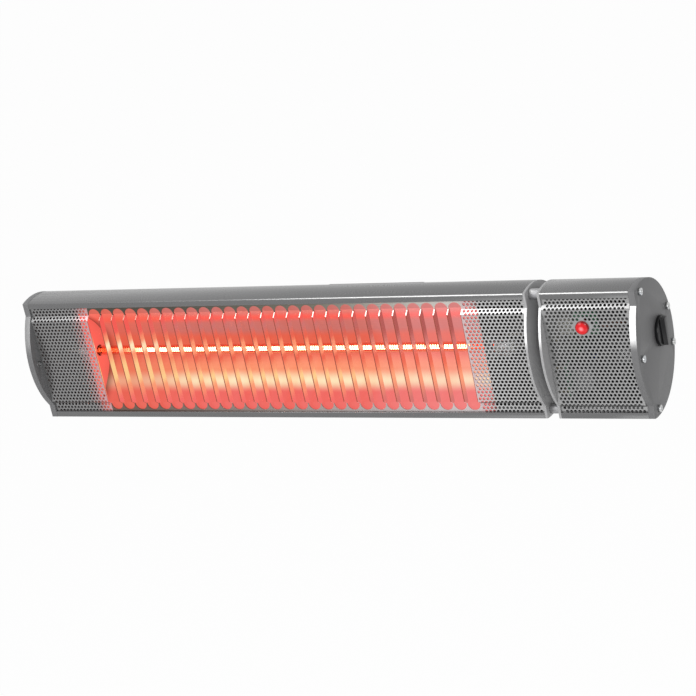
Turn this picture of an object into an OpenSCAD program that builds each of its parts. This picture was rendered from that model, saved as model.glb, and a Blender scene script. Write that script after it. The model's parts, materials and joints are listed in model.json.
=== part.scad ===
// Wall-hung infrared bar heater: a heating section and a control section of one D-shaped extrusion,
// joined by tie screws across an air gap, on a tilting wall bracket.
// X runs along the heater, the front faces -Y and Z is up. The origin is the middle of the
// wall plate's hole pattern, on the wall's plane.

/* [Extruded section] */
// Radius of the round back of both housings
tube_r = 67.5; // [62:0.5:74]
// How far the middle of the round back lies behind the front corners
axis_d = 16; // [12:0.5:20]
// Wall thickness of the housings
wall_t = 1.8; // [1.4:0.1:2.4]
// Thickness of the front lips
lip_t = 1.8; // [1.4:0.1:2.4]
// Width of each front lip
lip_w = 6.2; // [5:0.1:8]
// Width of the groove that holds a cover's edge
groove_w = 1.4; // [1.3:0.1:2]
// Thickness of the inner rib behind the groove
rib_t = 1.5; // [1:0.1:2.5]
// How far the back is cut flat for the bracket
back_flat = 1.2; // [0.8:0.1:1.6]
// How far the middles of the four screw ports lie inside the round back
port_inset = 7; // [6.8:0.1:8.4]
// Outer diameter of a screw port
port_d = 10.5; // [9:0.5:11]
// Angle of the front screw ports below the corner line
port_front_angle = 3.5; // [2:0.5:8]
// Angle of the rear screw ports
port_rear_angle = 72; // [64:1:74]

/* [Lengths] */
// Length of the heating section's housing
heater_len = 563; // [530:1:640]
// Length of the control section's housing
control_len = 89; // [86:1:130]
// Air gap between the two sections
section_gap = 12; // [8:0.5:20]
// Thickness of the two outer caps
cap_t = 6.5; // [6:0.5:9]
// Thickness of the two inner plates
plate_t = 2.5; // [2:0.1:4]

/* [Caps] */
// How far the caps' fronts bulge ahead of the lips
bulge = 17; // [10:0.5:22]
// Straight stretch at each end of a cap's front
cap_lip = 13.7; // [11:0.1:16]
// Wall left at the bottom of a cap's pocket
cap_skin = 2.5; // [2:0.1:4]
// Width of the rim round a cap's pocket
cap_rim = 7; // [6:0.5:10]
// Distance of the single front screw ahead of the lips
front_screw_out = 7; // [5:0.5:9]

/* [Front grille] */
// Thickness of the grille and cover sheets
sheet_t = 1; // [0.8:0.1:1.1]
// How far the flat faces stand ahead of the lips
face_out = 2.7; // [1:0.1:5]
// Height from the grille's flat face to the section's corner
grille_margin = 21; // [19:0.5:24]
// Height from the control cover's flat face to the section's corner
cover_margin = 17.5; // [16:0.5:20]
// Height of the sloping step beside a flat face
step_h = 4; // [3:0.1:5]
// Number of slots between the perforated ends
slots = 29; // [20:1:31]
// Distance from slot to slot
slot_pitch = 14.7; // [14:0.1:15]
// Thickness of a blade, which is the web between two slots
blade_t = 1.6; // [1.2:0.1:2.4]
// Depth of a blade
blade_depth = 8; // [5:0.5:9]
// Height from the end of a slot to the section's corner
slot_margin = 8; // [7.5:0.5:14]
// Distance between the perforations
hole_pitch = 8.4; // [7:0.1:12]
// Diameter of a perforation
hole_d = 5; // [3:0.1:6]
// Plain margin between the perforations and a sheet's end
hole_margin = 5; // [4:0.5:12]

/* [Reflector and lamp] */
// Depth of the lamp's axis behind the lips
lamp_depth = 26; // [24:0.5:32]
// Height from the reflector's mouth to the section's corner
mouth_margin = 15; // [12:0.5:19]
// Thickness of the reflector sheet
reflector_t = 0.8; // [0.5:0.1:1.2]
// Length of the reflector
reflector_len = 454; // [430:1:470]
// Thickness of the reflector's end plates
end_plate_t = 1.2; // [0.8:0.1:2]
// Outer diameter of the quartz tube
quartz_d = 10; // [8:0.5:12]
// Wall thickness of the quartz tube
quartz_wall = 1; // [0.8:0.1:1.5]
// How far the quartz tube reaches past each end of the reflector
quartz_over = 7; // [5:0.5:12]
// Diameter of the heating coil
coil_d = 5; // [3:0.1:6]
// Diameter of the ceramic lamp ends
ceramic_d = 13; // [12.5:0.5:15]
// Length of the ceramic lamp ends
ceramic_len = 20; // [16:0.5:26]
// Diameter of the lamp's lead wires
lead_d = 2.6; // [1.5:0.1:2.8]

/* [Control parts] */
// Height of the pillars under the control board
pillar_h = 8; // [5:0.5:12]
// Thickness of the circuit boards
board_t = 1.6; // [1:0.1:2]
// Diameter of the indicator lens
lens_d = 13; // [11:0.5:18]
// Distance of the indicator below the upper edge of the cover's flat face
lens_drop = 17; // [14:0.5:24]
// Distance of the indicator from the control section's inner plate
lens_along = 39; // [36:0.5:44]
// Depth of the rotary switch body
switch_len = 26; // [20:0.5:30]
// Side of the rotary switch body
switch_side = 28; // [24:0.5:32]
// Depth of the switch's axis behind the lips
knob_depth = 47; // [42:0.5:50]
// Height of the switch's axis above the middle
knob_up = 5; // [0:0.5:8]
// Diameter of the knob's skirt
knob_d = 30; // [26:0.5:34]
// Height of the knob's skirt
skirt_h = 3.2; // [3:0.1:5]
// Width of the knob's grip bar
grip_w = 9; // [7:0.5:12]
// Height of the grip bar above the skirt
grip_h = 4.2; // [3.6:0.1:12]
// Diameter of the switch spindle
spindle_d = 6; // [5:0.5:6]
// Diameter of the supply gland's bore
gland_bore = 9; // [7:0.5:10]

/* [Wall bracket] */
// Gap between the wall and the back of the housings
wall_gap = 60; // [54:1:80]
// Distance of the hinge from the wall
hinge_out = 30; // [24:1:34]
// Height of the hinge above the middle of the wall plate
hinge_up = 15; // [8:1:18]
// Thickness of the bracket sheets
bracket_t = 3; // [2.5:0.5:4]
// Width of the wall plate
wall_plate_w = 110; // [104:1:150]
// Height of the wall plate
wall_plate_h = 70; // [64:1:84]
// Spacing of the wall holes along X
wall_hole_x = 84; // [80:1:90]
// Spacing of the wall holes along Z
wall_hole_z = 44; // [36:1:48]
// Diameter of the wall holes
wall_hole_d = 6.5; // [5:0.1:8]
// Distance between the wall bracket's two ears
ear_gap = 50; // [46:1:60]
// Radius of the rounded end of each ear
ear_r = 11; // [9:0.5:13]
// Height of the tilt bracket's base
base_h = 24; // [20:1:25]
// Diameter of the bracket bolts
bolt_d = 6; // [5:0.5:6.5]
// Spacing of the two rail bolts
rail_bolt_gap = 24; // [18:1:26]

/* [Hidden] */
// Gap between pieces that seat on each other without touching
seat_gap = 0.2;
// Radial gap of a shaft that turns in its hole
run_gap = 0.05;
// Side gap between the moving ears
ear_clear = 0.3;
// M4 screws
screw_d = 4;
screw_head_d = 7.2;
screw_head_h = 2.6;
screw_reach = 12;
hex_key = 2.5;
hex_depth = 1.6;
// How far a cutter reaches past the faces that it opens
cut = 1;
// Clearance round a bolt or screw that only passes through
pass_gap = 0.2;
// Bolt heads and nuts, across their flats and along their axis
bolt_flats = bolt_d * 5 / 3;
bolt_head_h = 4;
nut_h = 5;
washer_t = 1.6;
bolt_end = 1.2;
washer_d = bolt_flats + 3;
// T-shaped rail in the back of the section
rail_lip = 2.5;
rail_wall = 2;
rail_w = bolt_flats + 2 * pass_gap;
rail_h = bolt_head_h + 1;
rail_slot = bolt_d + 2 * pass_gap;

$fn = 64;
front_half = sqrt(pow(tube_r, 2) - pow(axis_d, 2));
section_d = axis_d + tube_r;
flat_d = section_d - back_flat;
inner_r = tube_r - wall_t;
lip_u = front_half - lip_w;
rib_d = lip_t + groove_w;
behind_ribs = rib_d + rib_t;
big = 4 * tube_r;
port_r = tube_r - port_inset;

// Stations along X, from the left end
heater_x = cap_t;
heater_end = heater_x + heater_len;
heater_plate_end = heater_end + plate_t;
control_plate_x = heater_plate_end + section_gap;
control_x = control_plate_x + plate_t;
control_end = control_x + control_len;
total_len = control_end + cap_t;

// Screw ports, as [depth, height]
function on_tube(r, a) = [axis_d + r * sin(a), r * cos(a)];
port_angles = [-port_front_angle, port_rear_angle, 180 - port_rear_angle, 180 + port_front_angle];
ports = [for (a = port_angles) on_tube(port_r, a)];

// Front of the caps
bulge_half = front_half - cap_lip;
bulge_r = (pow(bulge_half, 2) + pow(bulge, 2)) / (2 * bulge);
front_port = [-front_screw_out, 0];
pocket_step = 2;

// Grille sheet
groove_end = 1.5;
sheet_play = 0.1;
sheet_edge = front_half - groove_end;
sheet_back = lip_t + groove_w - sheet_play;
grille_half = front_half - grille_margin;
cover_half = front_half - cover_margin;
slot_half = front_half - slot_margin;
// How far the slots, the reflector and the lamp sit towards the control section
slots_off = 2;
slots_x = heater_x + (heater_len - slots * slot_pitch) / 2 + slots_off;
perf_margin_side = 2;
// How far the blades run into the sheet that they are part of
weld = 0.01;

// Reflector: a parabola with its focus on the lamp
mouth_half = front_half - mouth_margin;
reflector_front = behind_ribs + seat_gap;
mouth_d = reflector_front + reflector_t;
focus_run = lamp_depth - mouth_d;
focal = (sqrt(pow(focus_run, 2) + pow(mouth_half, 2)) - focus_run) / 2;
function curve_d(u) = lamp_depth + focal - pow(u, 2) / (4 * focal);
function curve_n(u) = [2 * focal, u] / norm([2 * focal, u]);
reflector_back = curve_d(0) + reflector_t;
// How far the end plates reach behind the reflector
end_plate_over = 2;
reflector_x = heater_x + (heater_len - reflector_len) / 2 + slots_off;
reflector_end = reflector_x + reflector_len;
lamp_mid = (reflector_x + reflector_end) / 2;
quartz_len = reflector_len + 2 * quartz_over;
quartz_x = lamp_mid - quartz_len / 2;
quartz_clear = 1;
quartz_hole_d = quartz_d + 2 * quartz_clear;
seal_len = 4;
ceramic_grip = 4;
ceramic_x = quartz_x + ceramic_grip - ceramic_len;
curve_steps = 14;
clip_t = 1.2;
clip_in = 3;
clip_ring = 10;
clip_arm = 8;
clip_foot = [30, 20];

// Wiring between the sections
// The conduit runs half way between the reflector's back and the rail's wall
conduit_at = [(reflector_back + flat_d - rail_lip - rail_h - rail_wall) / 2, 0];
conduit_d = 10;
conduit_bore = 7.6;
conduit_nut_h = 3;
conduit_nut_flats = 14;
conduit_out = conduit_nut_h + 2.5;
conduit_x = heater_end - conduit_out;
conduit_len = section_gap + 2 * plate_t + 2 * conduit_out;
lead_side = 2.2;
left_lead_turn = 14;
left_lead_drop = 8;
right_lead_turn = 9;

// Control board, in depth and height from its front lower corner
board_front = 9;
board_clear = 3;
board_size = [50, 32];
board_reach = board_front + board_size[0] - axis_d;
board_at = [board_front, -sqrt(pow(inner_r - board_clear, 2) - pow(board_reach, 2))];
board_x = control_x + pillar_h;
board_face = board_x + board_t;
pillar_inset = 4;
pillar_d = 6;
pillar_screw_d = 3;
pillar_screw_in = 4;
pillar_head_d = 5.5;
pillar_head_h = 2;

// Pieces on the board: [depth, height] from its corner, then the size along X, Y and Z
transformer_at = [9, 1.5];
transformer_size = [22, 22, 22];
relay_at = [33, 8];
relay_size = [15.5, 12, 16];
chip_at = [9, 25];
chip_size = [3, 9, 6];
capacitor_at = [27, 28];
capacitor_d = 7;
capacitor_h = 14;

// Terminals and earth screw on the control section's inner plate
terminal_size = [15, 36, 16];
terminal_gap = 1;
terminal_at = [
  ports[1][0] - port_d / 2 - terminal_gap - terminal_size[1],
  conduit_nut_flats / sqrt(3) + terminal_gap
];
terminals = 4;
terminal_hole_d = 4.2;
terminal_hole_h = 4;
terminal_screw_d = 4;
terminal_screw_h = 3;
terminal_steps = [
  for (i = [0 : terminals - 1])
    terminal_at + [terminal_size[1] * (i + 0.5) / terminals, terminal_size[2] - terminal_hole_h]
];
earth_step = 9;
earth_reach = 3;
earth_at = [terminal_at[0] - earth_step, terminal_at[1]];

lens_x = control_x + lens_along;
lens_up = cover_half - lens_drop;
cover_back = sheet_t - face_out;
lens_flange_t = 1.5;
lens_flange_over = 1;
lens_flange_d = lens_d + 2 * lens_flange_over;
lens_out = 1.6;
dome_h = 2;
lens_seat = cover_back + sheet_play;
// Holes of the cover stay this far from the lens's hole
lens_land = 0.8;
lens_clear = lens_d / 2 + hole_d / 2 + lens_land;
holder_len = 8;
receiver_board_d = lens_seat + lens_flange_t + holder_len;
receiver_board_size = [24, 22];
receiver_lead_side = 8;
receiver_lead_x = lens_x - receiver_lead_side;
receiver_lead_drop = 6;
receiver_lead_back = 20;
receiver_lead_shift = 4;
receiver_plug = [20.8, 3];
thin_lead_d = 2;

switch_x = total_len - cap_skin;
bush_d = 10;
bush_out = 1.9;
spindle_in = 9;
spindle_grip = 2.4;
switch_nut_flats = 14;
switch_nut_h = 1.6;
switch_tag_side = 6;
switch_lead_run = 8;
terminal_lead_up = 5;
knob_gap = 0.4;
knob_hollow_gap = 0.75;
knob_hollow_d = switch_nut_flats / cos(30) + 2 * knob_hollow_gap;
knob_x = total_len + knob_gap;
grip_inset = 1;
grip_len = knob_d - 2 * grip_inset;

gland_angle = 136;
gland_along = 46;
gland_x = control_x + gland_along;
gland_thread_d = 16;
gland_flange_d = 22;
gland_flange_h = 5;
gland_dome_h = 10;
gland_dome_step = 0.5;
gland_dome_wall = 2.5;
gland_hole_in = 5;
gland_in = 9;
gland_seal_t = 2;
gland_nut_flats = 20;
gland_nut_h = 4;
gland_seat = tube_r + gland_seal_t;
// The nut's corners meet the curved wall first
gland_nut_top = sqrt(pow(inner_r, 2) - pow(gland_nut_flats / 2 / cos(30), 2)) - seat_gap;

// Screw that holds a cap's front, in a rivet nut on the cap's inner face
rivet_d = 6;
rivet_t = 1;
tie_len = cap_t + control_len + plate_t + section_gap + plate_t + screw_reach;

hinge_depth = section_d + wall_gap - hinge_out;
ear_x = ear_gap / 2;
tilt_ear_x = ear_x - ear_clear;
// How far an ear of the wall bracket flares at its root, as a share of its round end
ear_flare = 1.6;
base_y = -wall_gap - back_flat;
head_x = ear_x + bracket_t + washer_t;
hinge_nut_x = tilt_ear_x - bracket_t - ear_clear - nut_h;
rail_nut_y = base_y + bracket_t + washer_t;

// Puts a piece drawn in section coordinates (X along, Y depth behind the lips, Z height) in its place
module hung() {
  translate([-total_len / 2, -wall_gap - section_d, hinge_up]) children();
}

// Extrudes a [depth, height] outline along X
module along(x, length) {
  translate([x, 0, 0]) rotate([90, 0, 90]) linear_extrude(length) children();
}

// A round bar along X at a [depth, height]
module bar(x, length, at, d) {
  translate([x, at[0], at[1]]) rotate([0, 90, 0]) cylinder(h = length, d = d);
}

// A bar that opens a wall from one face to the other
module bore(x, length, at, d) {
  bar(x - cut, length + 2 * cut, at, d);
}

// A hexagonal bar along X
module hex_bar(x, length, at, flats) {
  translate([x, at[0], at[1]]) rotate([0, 90, 0]) cylinder(h = length, d = flats / cos(30), $fn = 6);
}

// A round bar along Y, towards the back
module rod_y(at, length, d) {
  translate(at) rotate([-90, 0, 0]) cylinder(h = length, d = d);
}

module bore_y(at, length, d) {
  rod_y(at - [0, cut, 0], length + 2 * cut, d);
}

module hex_y(at, length, flats) {
  translate(at) rotate([-90, 0, 0]) cylinder(h = length, d = flats / cos(30), $fn = 6);
}

// A wire through a list of points, as one tube mitred at its corners
wire_sides = 8;

function unit(v) = v / norm(v);
function leg(points, i) = unit(points[min(i + 1, len(points) - 1)] - points[min(i, len(points) - 2)]);
function mitre(points, i) = unit(leg(points, max(i - 1, 0)) + leg(points, i));

// The first ring of points, square to the first leg
function first_ring(points, d) =
  let (run = leg(points, 0), side = unit(cross(run, abs(run[2]) < 0.9 ? [0, 0, 1] : [1, 0, 0])))
  [for (k = [0 : wire_sides - 1]) let (a = 360 * k / wire_sides)
    points[0] + d / 2 * (cos(a) * side + sin(a) * cross(side, run))];

// A ring slid along its leg until it meets the next mitre
function slid(points, ring, i) = let (run = leg(points, i - 1), cut = mitre(points, i))
  [for (v = ring) v + run * ((points[i] - v) * cut) / (run * cut)];

function rings(points, ring, i = 1) =
  i == len(points) ? ring : concat(ring, rings(points, slid(points, ring, i), i + 1));

module wire(points, d) {
  n = wire_sides;
  last = n * (len(points) - 1);
  polyhedron(
    points = rings(points, first_ring(points, d)),
    faces = concat(
      [[for (k = [0 : n - 1]) k]],
      [for (r = [0 : n : last - n], k = [0 : n - 1])
        [r + k, r + n + k, r + n + (k + 1) % n, r + (k + 1) % n]],
      [[for (k = [n - 1 : -1 : 0]) last + k]]
    )
  );
}

// Outline of the extrusion, moved in by a distance at its round back and its front
module d_outline(inset = 0, front = 0, back = section_d) {
  intersection() {
    translate([axis_d, 0]) circle(r = tube_r - inset);
    translate([front, -big / 2]) square([back - front, big]);
  }
}

module port_circles(d) {
  for (p = ports) translate(p) circle(d = d);
}

module extrusion_outline() {
  intersection() {
    d_outline(0, 0, flat_d);
    difference() {
      union() {
        difference() {
          d_outline(0, 0, flat_d);
          d_outline(wall_t, lip_t, flat_d - wall_t);
          translate([-cut, -lip_u]) square([lip_t + 2 * cut, 2 * lip_u]);
        }
        for (s = [-1, 1]) translate([rib_d, s > 0 ? lip_u : -lip_u - big]) square([rib_t, big]);
        port_circles(port_d);
        for (a = port_angles) translate([axis_d, 0]) rotate(90 - a)
          translate([port_r, -port_d / 4]) square([tube_r - wall_t / 2 - port_r, port_d / 2]);
        translate([flat_d - rail_lip - rail_h - rail_wall, -rail_w / 2 - rail_wall])
          square([rail_lip + rail_h + rail_wall, rail_w + 2 * rail_wall]);
      }
      port_circles(screw_d + 2 * run_gap);
      translate([flat_d - rail_lip - rail_h, -rail_w / 2]) square([rail_h, rail_w]);
      translate([flat_d - rail_lip - cut, -rail_slot / 2]) square([rail_lip + 2 * cut, rail_slot]);
    }
  }
}

module cap_outline() {
  d_outline();
  intersection() {
    translate([bulge_r - bulge, 0]) circle(r = bulge_r);
    translate([-big, -big / 2]) square([big + lip_t, big]);
  }
}

// Pan-head screw along +X from its head's seat, with a hexagonal socket
module cap_screw(seat, at, reach) {
  difference() {
    union() {
      bar(seat, screw_head_h, at, screw_head_d);
      bar(seat - reach, reach + screw_head_h / 2, at, screw_d);
    }
    hex_bar(seat + screw_head_h - hex_depth, hex_depth + cut, at, hex_key);
  }
}

module heater_housing() color([0.5, 0.5, 0.51]) hung()
  along(heater_x, heater_len) extrusion_outline();

module control_housing() color([0.5, 0.5, 0.51]) hung() difference() {
  along(control_x, control_len) extrusion_outline();
  translate([gland_x, axis_d, 0]) rotate([-gland_angle, 0, 0]) translate([0, 0, inner_r - gland_hole_in])
    cylinder(h = gland_hole_in + wall_t + cut, d = gland_thread_d + 2 * pass_gap);
}

// Outer cap drawn at the left end: its pocket opens to the right
module outer_cap() {
  difference() {
    along(0, cap_t) cap_outline();
    along(cap_skin, cap_t) difference() {
      d_outline(cap_rim, cap_rim - pocket_step);
      port_circles(port_d);
    }
    for (p = concat(ports, [front_port])) bore(0, cap_t, p, screw_d + 2 * pass_gap);
  }
}

module left_end_cap() color([0.47, 0.47, 0.48]) hung() outer_cap();

module right_end_cap() color([0.47, 0.47, 0.48]) hung() difference() {
  translate([total_len, 0, 0]) mirror([1, 0, 0]) outer_cap();
  bore(total_len - cap_t, cap_t, [knob_depth, knob_up], bush_d + 2 * pass_gap);
}

module inner_plate(x) {
  difference() {
    along(x, plate_t) cap_outline();
    for (p = ports) bore(x, plate_t, p, screw_d + 2 * pass_gap);
    bore(x, plate_t, conduit_at, conduit_d + 2 * pass_gap);
  }
}

module heater_inner_plate() color([0.45, 0.45, 0.46]) hung() inner_plate(heater_end);

module control_inner_plate() color([0.45, 0.45, 0.46]) hung() difference() {
  inner_plate(control_plate_x);
  for (p = pillar_points()) bore(control_plate_x, plate_t, p, pillar_screw_d);
  bore(control_plate_x, plate_t, earth_at, screw_d);
}

module section_spacers() color([0.75, 0.75, 0.75]) hung() for (p = ports) difference() {
  bar(heater_plate_end, section_gap, p, port_d);
  bore(heater_plate_end, section_gap, p, screw_d + 2 * pass_gap);
}

// Bent sheet with a flat face ahead of the lips, sloping steps and edges in the grooves
module sheet_outline(half) {
  slope_end = half + step_h;
  polygon([
    [sheet_back - sheet_t, -sheet_edge], [sheet_back - sheet_t, -slope_end],
    [-face_out, -half], [-face_out, half],
    [sheet_back - sheet_t, slope_end], [sheet_back - sheet_t, sheet_edge],
    [sheet_back, sheet_edge], [sheet_back, slope_end],
    [sheet_t - face_out, half], [sheet_t - face_out, -half],
    [sheet_back, -slope_end], [sheet_back, -sheet_edge]
  ]);
}

// Perforations through a sheet between two stations along X, down to -height, clear of the lens
module perforations(x0, x1, height) {
  row = hole_pitch * cos(30);
  rows = floor(height / row);
  cols = floor((x1 - x0 - hole_pitch / 2) / hole_pitch);
  start = (x0 + x1 - (cols + 0.5) * hole_pitch) / 2;
  for (r = [-rows : rows], c = [0 : cols]) {
    at = [start + hole_pitch * (c + (abs(r) % 2) / 2), r * row];
    if (norm(at - [lens_x, lens_up]) > lens_clear)
      translate([at[0], -face_out - cut, at[1]]) rotate([-90, 0, 0])
        cylinder(h = face_out + sheet_back + 2 * cut, d = hole_d, $fn = 20);
  }
}

module front_grille() color([0.8, 0.8, 0.8]) hung() {
  slots_end = slots_x + slots * slot_pitch;
  slot_r = (slot_pitch - blade_t) / 2;
  difference() {
    along(heater_x + seat_gap, heater_len - 2 * seat_gap) sheet_outline(grille_half);
    for (i = [0 : slots - 1]) translate([slots_x + (i + 0.5) * slot_pitch, -face_out - cut, 0])
      rotate([-90, 0, 0]) linear_extrude(face_out + sheet_back + 2 * cut) {
        square([2 * slot_r, 2 * (slot_half - slot_r)], center = true);
        for (s = [-1, 1]) translate([0, s * (slot_half - slot_r)]) circle(r = slot_r);
      }
    perforations(heater_x + hole_margin, slots_x - perf_margin_side, lip_u - hole_d / 2);
    perforations(slots_end + perf_margin_side, heater_end - hole_margin, lip_u - hole_d / 2);
  }
  for (i = [1 : slots - 1]) translate([slots_x + i * slot_pitch - blade_t / 2, 0, 0])
    rotate([90, 0, 90]) linear_extrude(blade_t) polygon([
      [sheet_t - face_out - weld, -grille_half], [sheet_t - face_out - weld, grille_half],
      [blade_depth - face_out, grille_half + step_h], [blade_depth - face_out, -grille_half - step_h]
    ]);
}

module control_cover() color([0.7, 0.7, 0.7]) hung() difference() {
  along(control_x + seat_gap, control_len - 2 * seat_gap) sheet_outline(cover_half);
  perforations(control_x + hole_margin, control_end - hole_margin, lip_u - hole_d / 2);
  bore_y([lens_x, -face_out, lens_up], sheet_t, lens_d + 2 * pass_gap);
}

curve_us = [for (i = [-curve_steps : curve_steps]) i * mouth_half / curve_steps];

module reflector_outline() {
  lip = lip_u + lip_w / 3;
  polygon(concat(
    [[reflector_front, -lip]],
    [for (u = curve_us) [curve_d(u), u]],
    [[reflector_front, lip], [mouth_d, lip]],
    [for (i = [2 * curve_steps : -1 : 0]) let (u = curve_us[i]) [curve_d(u), u] + reflector_t * curve_n(u)],
    [[mouth_d, -lip]]
  ));
}

module reflector() color([0.92, 0.92, 0.92]) hung()
  along(reflector_x, reflector_len) reflector_outline();

module end_plate(x) {
  difference() {
    along(x, end_plate_t) difference() {
      d_outline(wall_t + seat_gap, reflector_front, reflector_back + end_plate_over);
      port_circles(port_d + 2 * seat_gap);
      for (a = port_angles) translate([axis_d, 0]) rotate(90 - a)
        translate([port_r, -port_d / 4 - seat_gap]) square([port_d, port_d / 2 + 2 * seat_gap]);
    }
    bore(x, end_plate_t, [lamp_depth, 0], quartz_hole_d);
  }
}

module reflector_end_plates() color([0.85, 0.85, 0.85]) hung() {
  end_plate(reflector_x - end_plate_t);
  end_plate(reflector_end);
}

module quartz_tube() color([0.95, 0.6, 0.4, 0.5]) hung() difference() {
  bar(quartz_x, quartz_len, [lamp_depth, 0], quartz_d);
  bar(quartz_x + seal_len, quartz_len - 2 * seal_len, [lamp_depth, 0], quartz_d - 2 * quartz_wall);
}

module heating_coil() color([1, 0.5, 0.1]) hung()
  bar(quartz_x + seal_len, quartz_len - 2 * seal_len, [lamp_depth, 0], coil_d);

// Ceramic end drawn at the left: a blind socket takes the quartz tube
module ceramic(x) {
  difference() {
    bar(x, ceramic_len, [lamp_depth, 0], ceramic_d);
    bar(x + ceramic_len - ceramic_grip, ceramic_grip + cut, [lamp_depth, 0], quartz_d + 2 * run_gap);
  }
}

module mirrored_lamp_end() {
  children();
  translate([2 * lamp_mid, 0, 0]) mirror([1, 0, 0]) children();
}

module lamp_ceramics() color([0.93, 0.91, 0.86]) hung() mirrored_lamp_end() ceramic(ceramic_x);

// Spring clip: a ring round the ceramic on a foot against the end plate
module lamp_clips() color([0.7, 0.7, 0.72]) hung() mirrored_lamp_end() {
  foot_x = reflector_x - end_plate_t - clip_t;
  ring_x = ceramic_x + clip_in;
  difference() {
    union() {
      bar(ring_x, clip_ring, [lamp_depth, 0], ceramic_d + 2 * run_gap + 2 * clip_t);
      for (s = [-1, 1]) translate([ring_x, lamp_depth, s * (ceramic_d / 2 + clip_t)])
        translate([0, -clip_arm / 2, -clip_t / 2]) cube([foot_x - ring_x, clip_arm, clip_t]);
      translate([foot_x, lamp_depth - clip_foot[1] / 2, -clip_foot[0] / 2])
        cube([clip_t, clip_foot[1], clip_foot[0]]);
    }
    bore(ring_x, clip_ring, [lamp_depth, 0], ceramic_d + 2 * run_gap);
    bore(foot_x, clip_t, [lamp_depth, 0], quartz_hole_d);
  }
}

// The leads bend half way between the lamp's ends and the section's ends
left_bend_x = (heater_x + ceramic_x) / 2;
left_lead = [
  [ceramic_x, lamp_depth, 0], [left_bend_x, lamp_depth, 0], [left_bend_x, conduit_at[0], -lead_side],
  [control_x + left_lead_turn, conduit_at[0], -lead_side],
  [control_x + left_lead_turn, conduit_at[0] - left_lead_drop, -lead_side],
  [control_x + left_lead_turn, conduit_at[0] - left_lead_drop, terminal_at[1]]
];
right_lead_x = 2 * lamp_mid - ceramic_x;
right_bend_x = (heater_end + right_lead_x) / 2;
right_lead = [
  [right_lead_x, lamp_depth, 0], [right_bend_x, lamp_depth, 0],
  [right_bend_x, conduit_at[0], lead_side], [control_x + right_lead_turn, conduit_at[0], lead_side],
  [control_x + right_lead_turn, conduit_at[0], terminal_at[1]]
];

module lamp_leads() color([0.85, 0.83, 0.78]) hung() {
  wire(left_lead, lead_d);
  wire(right_lead, lead_d);
}

module wire_conduit() color([0.7, 0.7, 0.7]) hung() difference() {
  bar(conduit_x, conduit_len, conduit_at, conduit_d);
  bore(conduit_x, conduit_len, conduit_at, conduit_bore);
}

module conduit_nuts() color([0.75, 0.72, 0.6]) hung()
  for (x = [heater_end - conduit_nut_h, control_x]) difference() {
    hex_bar(x, conduit_nut_h, conduit_at, conduit_nut_flats);
    bore(x, conduit_nut_h, conduit_at, conduit_d + 2 * run_gap);
  }

function pillar_points() = [
  for (d = [pillar_inset, board_size[0] - pillar_inset], u = [pillar_inset, board_size[1] - pillar_inset])
    board_at + [d, u]
];

module control_board() color([0.1, 0.4, 0.2]) hung() difference() {
  translate([board_x, board_at[0], board_at[1]]) cube([board_t, board_size[0], board_size[1]]);
  for (p = pillar_points()) bore(board_x, board_t, p, pillar_screw_d + 2 * pass_gap);
}

module board_pillars() color([0.8, 0.75, 0.5]) hung() for (p = pillar_points()) {
  difference() {
    bar(control_x, pillar_h, p, pillar_d);
    bar(board_x - pillar_screw_in - cut, pillar_screw_in + 2 * cut, p, pillar_screw_d + 2 * run_gap);
  }
  bar(control_plate_x, plate_t, p, pillar_screw_d - 2 * run_gap);
}

module board_screws() color([0.8, 0.8, 0.8]) hung() for (p = pillar_points()) {
  bar(board_face, pillar_head_h, p, pillar_head_d);
  bar(board_x - pillar_screw_in, board_t + pillar_screw_in, p, pillar_screw_d);
}

// A block standing on the board's face, placed from the board's front lower corner
module on_board(at, size) {
  translate([board_face, board_at[0] + at[0], board_at[1] + at[1]]) cube(size);
}

module transformer() color([0.25, 0.25, 0.27]) hung() on_board(transformer_at, transformer_size);

module relay() color([0.15, 0.25, 0.6]) hung() on_board(relay_at, relay_size);

module capacitor() color([0.15, 0.15, 0.17]) hung()
  bar(board_face, capacitor_h, board_at + capacitor_at, capacitor_d);

module control_chip() color([0.1, 0.1, 0.1]) hung() on_board(chip_at, chip_size);

module terminal_block() color([0.9, 0.9, 0.85]) hung() difference() {
  translate([control_x, terminal_at[0], terminal_at[1]]) cube(terminal_size);
  for (p = terminal_steps)
    bar(control_x + terminal_size[0] - terminal_hole_h, terminal_hole_h + cut, p, terminal_hole_d);
}

module terminal_screws() color([0.75, 0.75, 0.7]) hung() for (p = terminal_steps)
  bar(control_x + terminal_size[0] - terminal_hole_h, terminal_screw_h, p, terminal_screw_d);

module earth_screw() color([0.8, 0.75, 0.5]) hung() {
  bar(control_x, screw_head_h, earth_at, screw_head_d);
  bar(control_plate_x - earth_reach, plate_t + earth_reach, earth_at, screw_d - 2 * run_gap);
}

module indicator_lens() color([0.9, 0.1, 0.12]) hung() {
  rod_y([lens_x, lens_seat, lens_up], lens_flange_t, lens_flange_d);
  rod_y([lens_x, -face_out - lens_out, lens_up], lens_out + face_out + lens_seat + lens_flange_t, lens_d);
  intersection() {
    translate([lens_x, lens_d - dome_h - face_out - lens_out, lens_up]) sphere(r = lens_d);
    rod_y([lens_x, -face_out - lens_out - 2 * dome_h, lens_up], 2 * dome_h + cut, lens_d);
  }
}

module lens_holder() color([0.12, 0.12, 0.12]) hung() difference() {
  rod_y([lens_x, lens_seat + lens_flange_t, lens_up], holder_len, lens_flange_d);
  bore_y([lens_x, lens_seat + lens_flange_t, lens_up], holder_len, lens_d);
}

module receiver_board() color([0.1, 0.4, 0.2]) hung()
  translate([lens_x - receiver_board_size[0] / 2, receiver_board_d, lens_up - receiver_board_size[1] / 2])
    cube([receiver_board_size[0], board_t, receiver_board_size[1]]);

receiver_end = board_at + [receiver_plug[0], board_size[1] - receiver_plug[1]];

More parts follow.
